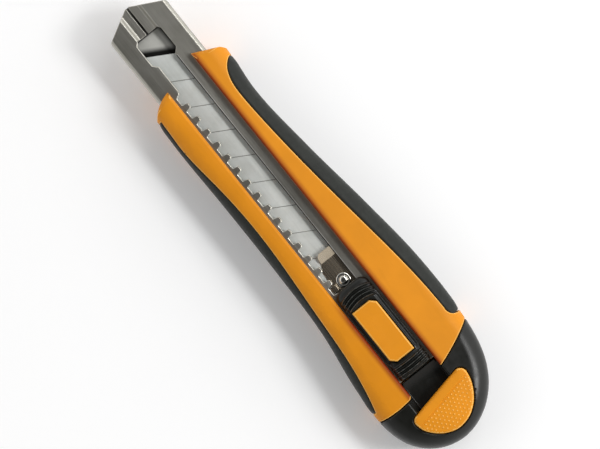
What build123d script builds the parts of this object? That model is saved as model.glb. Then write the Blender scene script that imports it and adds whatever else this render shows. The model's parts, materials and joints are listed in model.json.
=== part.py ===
"""Snap-off utility knife for 18 mm blades: a steel channel in a plastic handle with rubber grips.

Frame, in millimetres: +X runs along the blade to the nose, +Y is the side of the cutting edge,
and +Z comes out of the face that carries the thumb slider. The origin lies on the resting face,
under the centre line of the blade channel and half way along the knife.
"""

from build123d import *
import os
from math import atan2, cos, hypot, pi, radians, sin, tan

# Standard 18 mm blade, scored at 60 degrees into 10 mm segments
BLADE_WIDTH = 18.0
BLADE_THICK = 0.5
BLADE_LENGTH = 107.0
SEGMENT = 10.0
SCORES = 7
SCORE_ANGLE = 60.0
SCORE_WIDTH = 0.22
SCORE_DEPTH = 0.12
BEVEL = 1.6
EDGE_THICK = 0.06
HALF_BLADE = BLADE_WIDTH / 2
SLANT = BLADE_WIDTH / tan(radians(SCORE_ANGLE))
TIP_X = 71.1

# Folded steel channel, with the rack that the slider locks into
SHEET = 0.8
CHANNEL_HALF = 11.0
CHANNEL_DEPTH = 5.0
CHANNEL_BEND = 1.4
CHANNEL_REAR = -58.8
LIP_TOP = 16.0
NOSE_TIP = 84.75
NOSE_SHOULDER = 78.8
NOSE_ROUND = 2.0
NOSE_CORNER = 1.0
JOGGLE = 1.0
UPPER_LIP_Y = -2.7
RACK_ROOT_Y = 5.5
RACK_TIP_Y = 3.65
RACK_FIRST_X = 48.97
RACK_PITCH = SEGMENT / 2
RACK_TEETH = 22
WINDOW_X = (64.0, 74.05)
WINDOW_Y = (-4.3, 5.1)
LIP_UNDER = LIP_TOP - SHEET
CHANNEL_BACK = LIP_TOP - CHANNEL_DEPTH
CHANNEL_FLOOR = CHANNEL_BACK + SHEET
BLADE_TOP = LIP_UNDER - 1.3
BLADE_UNDER = BLADE_TOP - BLADE_THICK

# Handle: two shells, rubber grips and the resting pad
BACK = 0.4
TOP = 19.0
PARTING = 8.5
SIDE_ROUND = 6.0
FRONT_ROUND = 2.5
CREST_Y = (-7.2, 8.9)
CREST_SLOPE = 6.0
RAIL_CORNER = 1.2
SLOT_ROUND = 0.85
SKIN = 2.0
SLOT_Y = (-6.5, 6.7)
FIT = 0.05
SEAM = 0.3
SILHOUETTE = [
    (66.0, -15.9), (54.2, -16.1), (41.8, -14.95), (17.1, -16.7), (-7.6, -19.7), (-32.2, -22.0),
    (-50.8, -21.9), (-63.1, -20.6), (-73.0, -16.9), (-80.3, -10.3), (-84.4, 0.7), (-82.0, 10.0),
    (-76.2, 16.0), (-66.5, 19.1), (-52.7, 18.5), (-32.2, 15.8), (-7.6, 14.95), (17.1, 14.9),
    (41.8, 15.15), (52.0, 14.8), (66.0, 14.0),
]
PAD_CENTRE = (2.0, -1.2)
PAD_SIZE = (88.0, 17.0)
PAD_CORNER = 6.0
PAD_THICK = 1.2
PAD_GROOVE = (1.0, 0.4)
SCREWS = [(-20.0, -14.3), (-48.0, -15.8), (-57.5, 13.9)]
SCREW_SEAT = 4.2
SCREW_END = 14.5
SCREW_HEAD = (1.6, 1.2)
SCREW_SHANK = 0.95
PEGS = [(50.0, -12.6), (12.0, -13.0), (-45.0, 13.0)]
PEG = (1.0, 4.0)
BOSS_X = (33.0, 39.0)
BOSS_HALF = 2.0

# Pocket in the back shell with the spare blades
POCKET_X = 52.6
POCKET_HALF = 10.9
POCKET_FLOOR = 2.95
TRAY_X = (-57.0, 52.4)
TRAY_HALF = 10.7
TRAY_Z = (3.0, 6.4)
TRAY_WALL = 0.8
SPARES = 4
SPARE_PITCH = 0.55
BOW = (30.0, 8.4, 6.1)
BOW_THICK = 0.3
BOW_HALF = 3.0

# Thumb slider and blade carriage
PAD_X = (-59.0, -25.0)
PAD_Y = (-5.6, 6.1)
PAD_Z = (16.6, 19.7)
FLANGE_X = (-52.3, -32.3)
FLANGE_Y = -4.45
FLANGE_TOP = 18.3
RIB_TOP = 20.8
RIB_WIDTH = 0.55
RIB_X = (-27.6, -28.65, -29.7, -30.75, -31.8, -54.2, -55.4, -56.6, -57.8)
RIB_BOW = 0.7
INSERT_X = (-52.9, -32.7)
INSERT_Y = (-3.5, 4.9)
INSERT_Z = (18.3, 20.0)
INSERT_CORNER = 1.7
SLED_X = (-58.2, -19.0)
SLED_HALF = 9.9
SLED_TOP = BLADE_UNDER - FIT
BLOCK_FRONT = -37.5
NECK_X = (-57.0, -38.0)
NECK_Y = (-2.5, 3.4)
JOIN_X = (-55.0, -48.5)
JOIN_Y = 0.45
JOIN_HEAD = (1.7, 1.1)
JOIN_SHANK = 0.85
JOIN_END = 17.9

# Lock spring with its stud
LEAF = 0.35
LEAF_Z = BLADE_TOP + FIT
LEAF_X = (-44.0, -11.9)
LEAF_BEND_X = -15.0
LEAF_RISE = 0.75
FINGER_X = (-24.55, -22.5)
FINGER_TIP_Y = 5.3
STUD = (-23.0, 0.4)
STUD_COLLAR = 1.8
STUD_NECK = 1.1
STUD_HEAD = (2.3, 0.3)
STUD_DOME = (1.4, 0.4)
HOLE = 0.1

# End cap, release button and latch
RECESS_FLOOR = 14.0
RAMP_X = (-63.1, -59.3)
RECESS_SLOPE = (6.7, 8.6)
TONGUE_TOP = 16.0
TONGUE_HALF = 10.1
PLUG_FRONT = -58.5
PLUG_HALF = 10.7
PLUG_Z = (3.1, 8.35)
DECK_REAR = -61.5
BUTTON = [
    (-66.05, -9.2), (-69.65, 9.0), (-70.2, 10.3), (-71.6, 10.95), (-74.5, 10.2), (-77.0, 8.4),
    (-79.1, 5.9), (-80.4, 3.0), (-80.8, 0.4), (-80.3, -2.6), (-79.1, -5.2), (-76.7, -8.0),
    (-73.4, -10.2), (-70.8, -11.2), (-68.6, -11.6), (-66.85, -11.0),
]
STRIP_FRONT = [(-66.75, -20.0), (-75.05, 20.0)]
BUTTON_TOP = 19.8
BUTTON_UNDER = 15.4
BUTTON_GAP = 0.2
STRIP_DEPTH = 0.35
DOT_RADIUS = 0.33
DOT_HEIGHT = 0.2
DOT_PITCH = 1.35
LEG_X = (-71.8, -69.6)
LEG_HALF = 2.6
SHAFT_GAP = 0.2
LATCH_X = (-72.6, -57.9)
LATCH_HALF = 3.0
LATCH_Z = (6.8, 8.2)
LATCH_PASSAGE = (5.3, 8.4)
TOOTH_X = (-60.0, -57.9)
TOOTH_TOP = 9.4
LATCH_SCREW = (-70.7, 0.0)
LATCH_HEAD = (1.6, 1.0)
LATCH_SHANK = 0.7
LATCH_SCREW_TOP = 12.0
SPRING_AT = (-75.6, 0.0)
SPRING_RADIUS = 2.0
SPRING_WIRE = 0.22
SPRING_Z = (9.6, 16.6)
SPRING_TURNS = 6
SPRING_BORE = 2.8


def box(x, y, z):
    """Block between pairs of limits."""
    size = (x[1] - x[0], y[1] - y[0], z[1] - z[0])
    middle = ((x[0] + x[1]) / 2, (y[0] + y[1]) / 2, (z[0] + z[1]) / 2)
    return Pos(*middle) * Box(*size)


def upright(face, z):
    """Plan outline raised between two levels."""
    return Pos(0, 0, z[0]) * extrude(face, z[1] - z[0])


def pin(at, radius, z):
    """Upright cylinder."""
    return Pos(at[0], at[1], (z[0] + z[1]) / 2) * Cylinder(radius, z[1] - z[0])


def along_x(face, x):
    """Cross-section, drawn with Y across and Z up, run between two places on X."""
    return Plane.YZ.offset(x[0]) * extrude(face, x[1] - x[0])


def polygon(*points):
    """Closed straight-sided face."""
    return make_face(Polyline(*points, close=True))


def mid(a, b):
    """Limits centred on a with half width b."""
    return (a - b, a + b)


# ------------------------------------------------------------------ plan outlines

def moved_inwards(points, inset):
    """Points of a clockwise outline, each moved inwards along its local normal."""
    moved = []
    for before, at, after in zip([points[-1], *points], points, [*points[1:], points[0]]):
        along = (after[0] - before[0], after[1] - before[1])
        length = hypot(*along)
        moved.append((at[0] + along[1] / length * inset, at[1] - along[0] / length * inset))
    return moved


def rounded_body(inset):
    """Handle and cap as one body, inset all round: rails sloping outwards and rounded long edges."""
    points = moved_inwards(SILHOUETTE, inset)
    face = make_face([Spline(*points), Line(points[-1], points[0])])
    low, high = BACK + inset, TOP - inset
    body = upright(face, (low, high))
    reach = 40
    for crest in CREST_Y:
        outer = reach if crest > 0 else -reach
        fall = abs(outer - crest) * tan(radians(CREST_SLOPE))
        wedge = polygon((crest, high), (outer, high - fall), (outer, high + 1), (crest, high + 1))
        body -= along_x(wedge, (-100, 80))
    under = [e for e in body.edges() if abs(e.center().Z - low) < 1e-3]
    body = fillet([e for e in under if e.center().X < 40], SIDE_ROUND - inset)
    above = [e for e in body.edges() if e.center().Z > high - 4 and e.center().X < 40]
    rims = [e for e in above if min(abs(e.center().Y - crest) for crest in CREST_Y) > 0.5]
    return fillet(rims, SIDE_ROUND - inset)


def handle_region():
    """Plan area of the shells: slanted front end, and the curved seam with the cap."""
    return make_face([
        Line((61.0, -6.5), (57.6, -13.8)),
        ThreePointArc((57.6, -13.8), (56.3, -15.6), (53.5, -16.6)),
        Line((53.5, -16.6), (53.0, -30.0)),
        Line((53.0, -30.0), (-50.0, -30.0)),
        ThreePointArc((-50.0, -30.0), (-58.2, -16.8), (-62.2, -6.5)),
        Line((-62.2, -6.5), (-64.5, 6.7)),
        ThreePointArc((-64.5, 6.7), (-65.0, 13.0), (-63.0, 24.0)),
        Line((-63.0, 24.0), (50.0, 24.0)),
        Line((50.0, 24.0), (50.6, 15.2)),
        ThreePointArc((50.6, 15.2), (52.2, 13.9), (56.1, 6.8)),
        Line((56.1, 6.8), (61.0, -6.5)),
    ])


def upper_grip_region():
    """Plan area of the rubber on the spine side."""
    return make_face([
        Line((53.3, -30.0), (53.1, -15.2)),
        Spline(
            (53.1, -15.2), (51.1, -12.9), (46.4, -10.95), (41.8, -10.6), (35.6, -10.8),
            (11.0, -12.75), (-13.7, -15.6), (-38.4, -18.1), (-49.0, -18.45),
        ),
        ThreePointArc((-49.0, -18.45), (-52.4, -20.0), (-51.5, -24.0)),
        Line((-51.5, -24.0), (-51.5, -30.0)),
        Line((-51.5, -30.0), (53.3, -30.0)),
    ])


def lower_grip_region():
    """Plan area of the rubber on the cutting edge's side."""
    return make_face([
        Line((50.3, 24.0), (50.2, 13.9)),
        Spline(
            (50.2, 13.9), (44.9, 14.05), (40.3, 14.25), (29.5, 13.5), (17.1, 12.35), (4.8, 11.95),
            (-7.6, 12.35), (-26.1, 13.65), (-44.6, 15.1), (-56.9, 17.2), (-61.4, 18.3),
        ),
        Line((-61.4, 18.3), (-61.4, 24.0)),
        Line((-61.4, 24.0), (50.3, 24.0)),
    ])


def button_face(gap=0.0):
    """D outline of the release button with a slanted straight front edge, grown by a gap."""
    points = moved_inwards(BUTTON, gap)
    return make_face([
        Line(points[0], points[1]),
        ThreePointArc(*points[1:4]),
        Spline(*points[3:-1]),
        ThreePointArc(points[-2], points[-1], points[0]),
    ])


# ------------------------------------------------------------------ handle

def cavity():
    """Room in the shells for the channel, the slider, the spare blades and the latch."""
    half = CHANNEL_HALF + FIT
    room = box((CHANNEL_REAR - FIT, 70), (-half, half), (CHANNEL_BACK - FIT, LIP_TOP + FIT))
    room += box((-75, 70), SLOT_Y, (LIP_TOP - 1, 25))
    exit_half = TONGUE_HALF + 0.2
    room += box((-75, CHANNEL_REAR), (-exit_half, exit_half), (CHANNEL_FLOOR - FIT, LIP_TOP + FIT))
    room += box((-75, POCKET_X), (-POCKET_HALF, POCKET_HALF), (POCKET_FLOOR, PARTING))
    latch_half = LATCH_HALF + 0.3
    room += box((-60.2, -57.6), (-latch_half, latch_half), (PARTING - 1, CHANNEL_BACK + 1))
    room += box((-75, DECK_REAR), (-latch_half, latch_half), (PARTING - 1, CHANNEL_BACK + 1))
    return room


def locating_boss(gap):
    """Block on the deck that stands in a window of the channel and holds it endways."""
    x = (BOSS_X[0] - gap, BOSS_X[1] + gap)
    return box(x, (-BOSS_HALF - gap, BOSS_HALF + gap), (CHANNEL_BACK - 0.2, CHANNEL_FLOOR - 0.1 + gap))


def pad_block(gap, top):
    """Rounded block of the rubber pad, grown by a gap for its recess."""
    outline = RectangleRounded(PAD_SIZE[0] + 2 * gap, PAD_SIZE[1] + 2 * gap, PAD_CORNER)
    return upright(Pos(*PAD_CENTRE) * outline, (0, top))


def handle_block():
    """The handle's plan area raised to full height, with its front end rounded."""
    block = upright(handle_region(), (BACK, TOP))
    front = [e for e in block.edges() if e.center().X > 50 and abs(e.center().Y) < 16.4]
    level = [e for e in front if min(abs(e.center().Z - BACK), abs(e.center().Z - TOP)) < 1e-3]
    return fillet(level, FRONT_ROUND)


def slot_roundings():
    """What the rounded edges along both sides of the slot leave off."""
    cutters = []
    for edge, way in zip(SLOT_Y, (-1, 1)):
        low, flat = TOP - SLOT_ROUND, edge + way * SLOT_ROUND
        bulge = SLOT_ROUND * (1 - cos(pi / 4))
        outside = edge - way
        profile = make_face([
            ThreePointArc((edge, low), (edge + way * bulge, TOP - bulge), (flat, TOP)),
            Polyline((flat, TOP), (flat, TOP + 1), (outside, TOP + 1), (outside, low), (edge, low)),
        ])
        cutters.append(along_x(profile, (-80, 80)))
    return cutters


def make_handle():
    """The two shells and the two grips, cut from one rounded body."""
    handle = rounded_body(0) & handle_block()
    skin = handle - rounded_body(SKIN)
    grips = [skin & upright(region, (-5, 35)) for region in (upper_grip_region(), lower_grip_region())]
    shells = handle - grips[0] - grips[1] - cavity()
    front = shells & box((-100, 100), (-40, 40), (PARTING, 30))
    back = shells & box((-100, 100), (-40, 40), (-5, PARTING))
    corner = [e for e in front.edges().filter_by(Axis.Z) if abs(e.center().Y - SLOT_Y[1]) < 0.1]
    front = fillet([e for e in corner if e.center().X < -60 and e.center().Z > LIP_TOP], RAIL_CORNER)
    for cutter in slot_roundings():
        front -= cutter
    front += locating_boss(0)
    for at in SCREWS:
        front -= pin(at, SCREW_SHANK, (PARTING - 1, SCREW_END))
        back -= pin(at, SCREW_HEAD[0] + FIT, (-1, SCREW_SEAT + SCREW_HEAD[1]))
        back -= pin(at, SCREW_SHANK + FIT, (SCREW_SEAT, PARTING + 1))
    for at in PEGS:
        back += pin(at, PEG[0], (PARTING - 1, PARTING + PEG[1]))
        front -= pin(at, PEG[0] + FIT, (PARTING - 1, PARTING + PEG[1] + FIT))
    back -= pad_block(FIT, PAD_THICK)
    return {"front_shell": front, "back_shell": back, "upper_grip": grips[0], "lower_grip": grips[1]}


def make_rest_pad():
    """Rubber pad that the knife lies on, with cross grooves at both ends."""
    pad = pad_block(0, PAD_THICK)
    for side in (-1, 1):
        for n in range(6):
            x = PAD_CENTRE[0] + side * (22 + 3 * n)
            pad -= box(mid(x, PAD_GROOVE[0] / 2), (-20, 20), (-1, PAD_GROOVE[1]))
    return pad


def cross_screw(at, seat, head, shank, end):
    """Self-tapping screw driven upwards, with a cross recess in its head."""
    screw = pin(at, head[0], (seat, seat + head[1])) + pin(at, shank, (seat + head[1], end))
    arm = head[0] * 0.62
    depth = (seat - 1, seat + head[1] * 0.6)
    screw -= box(mid(at[0], arm), mid(at[1], 0.2), depth)
    screw -= box(mid(at[0], 0.2), mid(at[1], arm), depth)
    return screw


def make_shell_screws():
    """The screws that hold the shells together, all alike."""
    return [cross_screw(at, SCREW_SEAT, SCREW_HEAD, SCREW_SHANK, SCREW_END - 0.3) for at in SCREWS]


# ------------------------------------------------------------------ channel and blades

def rack_tooth(x):
    """One rack tooth, standing on the lip's edge and narrowing to its tip."""
    rise = RACK_TIP_Y - RACK_ROOT_Y
    half_width = [(1.35, 0.3), (1.15, -0.15), (0.9, rise + 0.3), (0.6, rise)]
    right = [(x + across, RACK_ROOT_Y + up) for across, up in half_width]
    left = [(x - across, RACK_ROOT_Y + up) for across, up in reversed(half_width)]
    return polygon(*right, *left)


def lip_opening():
    """Plan of the opening between the lips: rear slot with its rack, and the nose window."""
    opening = polygon(
        (-70, UPPER_LIP_Y), (WINDOW_X[0], UPPER_LIP_Y), (WINDOW_X[0] + 1.6, WINDOW_Y[0]),
        (WINDOW_X[1] - 0.9, WINDOW_Y[0]), (WINDOW_X[1], WINDOW_Y[0] + 0.8),
        (WINDOW_X[1], WINDOW_Y[1] - 1.2), (WINDOW_X[1] - 1.2, WINDOW_Y[1]),
        (WINDOW_X[0] + 1.4, WINDOW_Y[1]), (WINDOW_X[0], RACK_TIP_Y + 0.05), (54.3, RACK_TIP_Y + 0.05),
        (53.5, 4.1), (52.8, RACK_ROOT_Y), (-70, RACK_ROOT_Y),
    )
    for n in range(RACK_TEETH):
        opening -= rack_tooth(RACK_FIRST_X - n * RACK_PITCH)
    return opening


def nose_region():
    """Plan of the channel, square at the rear with a blunt V at the nose."""
    half = CHANNEL_HALF
    face = polygon(
        (CHANNEL_REAR, -half), (NOSE_SHOULDER, -half), (NOSE_TIP, 0.2), (NOSE_SHOULDER, half),
        (CHANNEL_REAR, half),
    )
    ends = face.vertices().sort_by(Axis.X)
    face = fillet(ends[-1], NOSE_ROUND)
    corners = [v for v in face.vertices() if abs(abs(v.Y) - half) < 1e-6 and v.X > 0]
    return fillet(corners, NOSE_CORNER)


def joggled_lip(outer_y, inner_y, edge_y):
    """Cross-section of a nose lip that steps down towards the blade."""
    return polygon(
        (outer_y, LIP_TOP), (inner_y, LIP_TOP - JOGGLE), (edge_y, LIP_TOP - JOGGLE),
        (edge_y, LIP_UNDER - JOGGLE), (inner_y, LIP_UNDER - JOGGLE), (outer_y, LIP_UNDER),
    )


def make_channel():
    """Folded steel channel that guides the blade, with rack, window and joggled nose lips."""
    outside = RectangleRounded(2 * CHANNEL_HALF, CHANNEL_DEPTH, CHANNEL_BEND)
    inner_width = 2 * (CHANNEL_HALF - SHEET)
    inside = RectangleRounded(inner_width, CHANNEL_DEPTH - 2 * SHEET, CHANNEL_BEND - SHEET)
    section = Pos(0, LIP_TOP - CHANNEL_DEPTH / 2) * (outside - inside)
    channel = along_x(section, (CHANNEL_REAR, NOSE_TIP))
    channel -= upright(lip_opening(), (LIP_UNDER - 0.4, LIP_TOP + 1))
    lips = [(-3.75, -2.85, -0.15), (4.1, 3.2, 0.55)]
    channel -= box((WINDOW_X[1], 90), (lips[0][0], lips[1][0]), (LIP_UNDER - 0.4, LIP_TOP + 1))
    for lip in lips:
        channel += along_x(joggled_lip(*lip), (WINDOW_X[1], NOSE_TIP))
    channel &= upright(nose_region(), (0, 30))
    return channel - locating_boss(0.15)


def blade_blank(tip_x, top):
    """Scored blade with a ground edge and a tail hole, at a given place and level."""
    under = top - BLADE_THICK
    tail = tip_x - BLADE_LENGTH
    outline = polygon(
        (tip_x, HALF_BLADE), (tip_x - SLANT, -HALF_BLADE), (tail, -HALF_BLADE), (tail + SLANT, HALF_BLADE),
    )
    blade = upright(outline, (under, top))
    for n in range(1, SCORES + 1):
        x = tip_x - SLANT / 2 - n * SEGMENT
        blade -= Pos(x, 0, top) * Rot(0, 0, SCORE_ANGLE) * Box(30, SCORE_WIDTH, 2 * SCORE_DEPTH)
    edge = (top + under) / 2
    for face_z, way in ((top, 1), (under, -1)):
        bevel = polygon(
            (HALF_BLADE - BEVEL, face_z), (HALF_BLADE, edge + way * EDGE_THICK / 2),
            (HALF_BLADE + 0.2, edge + way * EDGE_THICK / 2), (HALF_BLADE + 0.2, face_z + way),
            (HALF_BLADE - BEVEL, face_z + way),
        )
        blade -= along_x(bevel, (tail - 5, tip_x + 5))
    hole = (tip_x + STUD[0] - TIP_X, STUD[1])
    return blade - pin(hole, STUD_COLLAR + HOLE, (under - 1, top + 1))


def make_spare_blades():
    """Spare blades stacked in the tray, a hair apart."""
    tip = TRAY_X[1] - TRAY_WALL - 0.4
    first = TRAY_Z[0] + TRAY_WALL + BLADE_THICK + FIT
    return [blade_blank(tip, first + n * SPARE_PITCH) for n in range(SPARES)]


def make_tray():
    """Open tray that lines the pocket and holds the spare blades."""
    tray = box(TRAY_X, (-TRAY_HALF, TRAY_HALF), TRAY_Z)
    inner_half = HALF_BLADE + 0.3
    inner_x = (TRAY_X[0] - 1, TRAY_X[1] - TRAY_WALL)
    return tray - box(inner_x, (-inner_half, inner_half), (TRAY_Z[0] + TRAY_WALL, TRAY_Z[1] + 1))


def make_tray_spring():
    """Bowed strip that presses the spare blades down from the deck."""
    reach, high, low = BOW
    lower = ThreePointArc((-reach, high - BOW_THICK), (0, low), (reach, high - BOW_THICK))
    upper = ThreePointArc((-reach, high), (0, low + BOW_THICK), (reach, high))
    ends = [Line((side * reach, high - BOW_THICK), (side * reach, high)) for side in (-1, 1)]
    profile = make_face([lower, ends[0], ends[1], upper])
    return Plane.XZ.offset(-BOW_HALF) * extrude(profile, 2 * BOW_HALF)


# ------------------------------------------------------------------ slider

def make_slider_pad():
    """Thumb pad with arched grip ribs at both ends and a seat for the coloured plate."""
    pad = box(PAD_X, PAD_Y, PAD_Z)
    pad = fillet(pad.edges().filter_by(Axis.Z).sort_by(Axis.X)[-2:], 2.5)
    pad = fillet(pad.edges().filter_by(Axis.Z).sort_by(Axis.X)[:2], 0.8)
    middle = (PAD_Y[0] + PAD_Y[1]) / 2
    reach = PAD_Y[1] - middle - 0.7
    for x in RIB_X:
        lean = RIB_BOW if x > INSERT_X[1] else -RIB_BOW
        front = ThreePointArc((x - lean, middle - reach), (x, middle), (x - lean, middle + reach))
        back, back_end = x - RIB_WIDTH, x - lean - RIB_WIDTH
        rear = ThreePointArc((back_end, middle - reach), (back, middle), (back_end, middle + reach))
        sides = [Line((x - lean, middle + y), (back_end, middle + y)) for y in (-reach, reach)]
        pad += upright(make_face([front, rear, *sides]), (PAD_Z[1] - 0.5, RIB_TOP))
    pad -= box(FLANGE_X, (PAD_Y[0] - 1, FLANGE_Y), (FLANGE_TOP, RIB_TOP + 1))
    pad -= upright(insert_face(FIT), (INSERT_Z[0], RIB_TOP + 1))
    for x in JOIN_X:
        pad -= pin((x, JOIN_Y), JOIN_SHANK, (PAD_Z[0] - 1, JOIN_END + 0.1))
    return pad


def insert_face(gap):
    """Plan of the plate in the thumb pad, with two opposite corners cut off."""
    x0, x1 = INSERT_X[0] - gap, INSERT_X[1] + gap
    y0, y1 = INSERT_Y[0] - gap, INSERT_Y[1] + gap
    cut = INSERT_CORNER
    return polygon((x0, y0), (x1 - cut, y0), (x1, y0 + cut), (x1, y1), (x0 + cut, y1), (x0, y1 - cut))


def make_insert():
    """Coloured plate let into the thumb pad, plain on top."""
    plate = upright(insert_face(0), INSERT_Z)
    return chamfer(plate.faces().sort_by(Axis.Z)[-1].edges(), 0.3)


def make_carriage():
    """Sled under the blade, with a block behind its tail and a neck up through the slot."""
    half = SLED_HALF
    height = LIP_UNDER - FIT - (CHANNEL_FLOOR + FIT)
    section = Pos(0, CHANNEL_FLOOR + FIT + height / 2) * RectangleRounded(2 * half, height, 0.7)
    carriage = along_x(section, SLED_X)
    carriage -= box((BLOCK_FRONT, SLED_X[1] + 1), (-half - 1, half + 1), (SLED_TOP, LIP_TOP))
    carriage += box(NECK_X, NECK_Y, (SLED_TOP, PAD_Z[0]))
    carriage -= box((LEAF_X[0], BLOCK_FRONT + 1), (-3.5, 3.5), (LEAF_Z, LEAF_Z + LEAF))
    carriage -= pin(STUD, STUD_COLLAR + 0.3, (BLADE_UNDER - 0.6, BLADE_TOP))
    for x in JOIN_X:
        seat = CHANNEL_FLOOR + 0.2
        carriage -= pin((x, JOIN_Y), JOIN_HEAD[0] + FIT, (CHANNEL_FLOOR - 1, seat + JOIN_HEAD[1]))
        carriage -= pin((x, JOIN_Y), JOIN_SHANK + FIT, (CHANNEL_FLOOR, PAD_Z[0] + 1))
    return carriage


def make_carriage_screws():
    """Screws that hold the thumb pad on the carriage's neck."""
    seat = CHANNEL_FLOOR + 0.2
    return [cross_screw((x, JOIN_Y), seat, JOIN_HEAD, JOIN_SHANK, JOIN_END) for x in JOIN_X]


def make_lock_spring():
    """Leaf over the blade's tail, with a raised tip and the finger that stands in the rack."""
    z0, z1 = LEAF_Z, LEAF_Z + LEAF
    x_rear, x_front = LEAF_X
    strip = polygon(
        (x_rear, z0), (LEAF_BEND_X, z0), (x_front, z0 + LEAF_RISE), (x_front, z1 + LEAF_RISE),
        (LEAF_BEND_X, z1), (x_rear, z1),
    )
    leaf = Plane.XZ.offset(-10) * extrude(strip, 20)
    outline = polygon(
        (x_rear, -3.45), (-13.0, -3.45), (x_front, -2.4), (x_front, 1.6), (-12.8, 2.6), (-15.0, 2.8),
        (-17.4, 4.0), (-21.2, 4.4), (-26.0, 4.4), (-28.0, 3.45), (x_rear, 3.45),
    )
    leaf &= upright(outline, (0, 30))
    finger_z = LIP_UNDER + 0.1
    finger = polygon(
        (2.9, z0), (3.6, finger_z), (FINGER_TIP_Y, finger_z), (FINGER_TIP_Y, finger_z + LEAF),
        (3.4, finger_z + LEAF), (2.7, z1),
    )
    leaf += along_x(finger, FINGER_X)
    return leaf - pin(STUD, STUD_NECK, (z0 - 1, z1 + 1))


def make_stud():
    """Rivet in the lock spring whose collar stands in the blade's tail hole."""
    z0, z1 = LEAF_Z, LEAF_Z + LEAF
    head_top = z1 + STUD_HEAD[1]
    stud = pin(STUD, STUD_COLLAR, (BLADE_UNDER - 0.3, z0)) + pin(STUD, STUD_NECK, (z0 - 0.1, z1 + 0.1))
    stud += pin(STUD, STUD_HEAD[0], (z1, head_top))
    dome = pin(STUD, STUD_DOME[0], (head_top - 0.1, head_top + STUD_DOME[1]))
    return stud + chamfer(dome.faces().sort_by(Axis.Z)[-1].edges(), 0.25)


# ------------------------------------------------------------------ end cap and button

def cap_front():
    """Parts of the cap that reach forward: the plug in the pocket and the tongue in the slot."""
    plug = box((-70, PLUG_FRONT), (-PLUG_HALF, PLUG_HALF), PLUG_Z)
    plug = chamfer(plug.faces().sort_by(Axis.X)[-1].edges(), 0.6)
    tongue = box((-70, RAMP_X[1]), (-TONGUE_HALF, TONGUE_HALF), (CHANNEL_FLOOR + FIT, LIP_UNDER))
    tongue += box((-70, RAMP_X[1]), (SLOT_Y[0] + 0.2, SLOT_Y[1] - 0.2), (LIP_UNDER - 1, TONGUE_TOP))
    return plug + tongue


def recess():
    """Dip between slider and button: a ramp down from the tongue, a level floor, one sloping side."""
    low, high = RAMP_X
    ramp = polygon(
        (-80, RECESS_FLOOR), (low, RECESS_FLOOR), (high, TONGUE_TOP), (high + 1, TONGUE_TOP),
        (high + 1, 30), (-80, 30),
    )
    dip = Plane.XZ.offset(-SLOT_Y[1]) * extrude(ramp, SLOT_Y[1] - SLOT_Y[0])
    foot, head = RECESS_SLOPE
    back, above = foot - 0.5, TOP + 0.5
    side = polygon((back, RECESS_FLOOR), (foot, RECESS_FLOOR), (head, above), (back, above))
    dip += along_x(side, (-80, RAMP_X[0]))
    front_of_button = polygon((-40, -20), (-64.8, -20), (-73.1, 20), (-40, 20))
    return dip & upright(front_of_button, (0, 40))


def latch_room():
    """Passage in the cap for the latch, its screw and the button's leg."""
    half = LATCH_HALF + SHAFT_GAP
    room = box((LATCH_X[0] - SHAFT_GAP, -50), (-half, half), LATCH_PASSAGE)
    leg_x = (LEG_X[0] - SHAFT_GAP, LEG_X[1] + SHAFT_GAP)
    leg_half = LEG_HALF + SHAFT_GAP
    room += box(leg_x, (-leg_half, leg_half), (LATCH_PASSAGE[0], RECESS_FLOOR + 1))
    return room + pin(LATCH_SCREW, LATCH_HEAD[0] + SHAFT_GAP, (-1, LATCH_PASSAGE[0] + 1))


def make_cap():
    """Black end cap with plug, tongue, recess and the well of the button."""
    shell_region = Pos(-SEAM, 0) * handle_region()
    cap = rounded_body(0) - upright(shell_region, (-5, 35))
    cap = cap.solids().sort_by(Axis.X)[0]
    cap += cap_front()
    cap -= recess()
    cap -= upright(button_face(BUTTON_GAP), (RECESS_FLOOR, 30))
    cap -= latch_room()
    return cap - pin(SPRING_AT, SPRING_BORE, (SPRING_Z[0] - FIT, RECESS_FLOOR + 1))


def make_button():
    """D-shaped button with a smooth raised strip, small grip dots and a leg down to the latch."""
    body = upright(button_face(), (BUTTON_UNDER, BUTTON_TOP))
    strip_front = polygon((-60, -20), *STRIP_FRONT, (-60, 20))
    body -= upright(button_face(), (BUTTON_TOP - STRIP_DEPTH, 30)) - upright(strip_front, (0, 40))
    inside = button_face(-1.2) - strip_front
    slant = atan2(-3.8, 18.2)
    for row in range(8):
        for column in range(-8, 9):
            across = column * DOT_PITCH + (row % 2) * DOT_PITCH / 2
            back = 4.2 + row * DOT_PITCH * sin(pi / 3)
            x = -67.95 - back * cos(slant) + across * sin(slant)
            y = across * cos(slant) + back * sin(slant) - 0.2
            if inside.is_inside(Vector(x, y, 0)):
                top = BUTTON_TOP - STRIP_DEPTH
                body += pin((x, y), DOT_RADIUS, (top - 0.1, top + DOT_HEIGHT))
    body += box(LEG_X, (-LEG_HALF, LEG_HALF), (LATCH_Z[1], BUTTON_UNDER + 0.5))
    body -= pin(LATCH_SCREW, LATCH_SHANK, (LATCH_Z[1] - 1, LATCH_SCREW_TOP + 0.1))
    return body - pin(SPRING_AT, SPRING_BORE, (BUTTON_UNDER - 1, SPRING_Z[1] + FIT))


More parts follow.
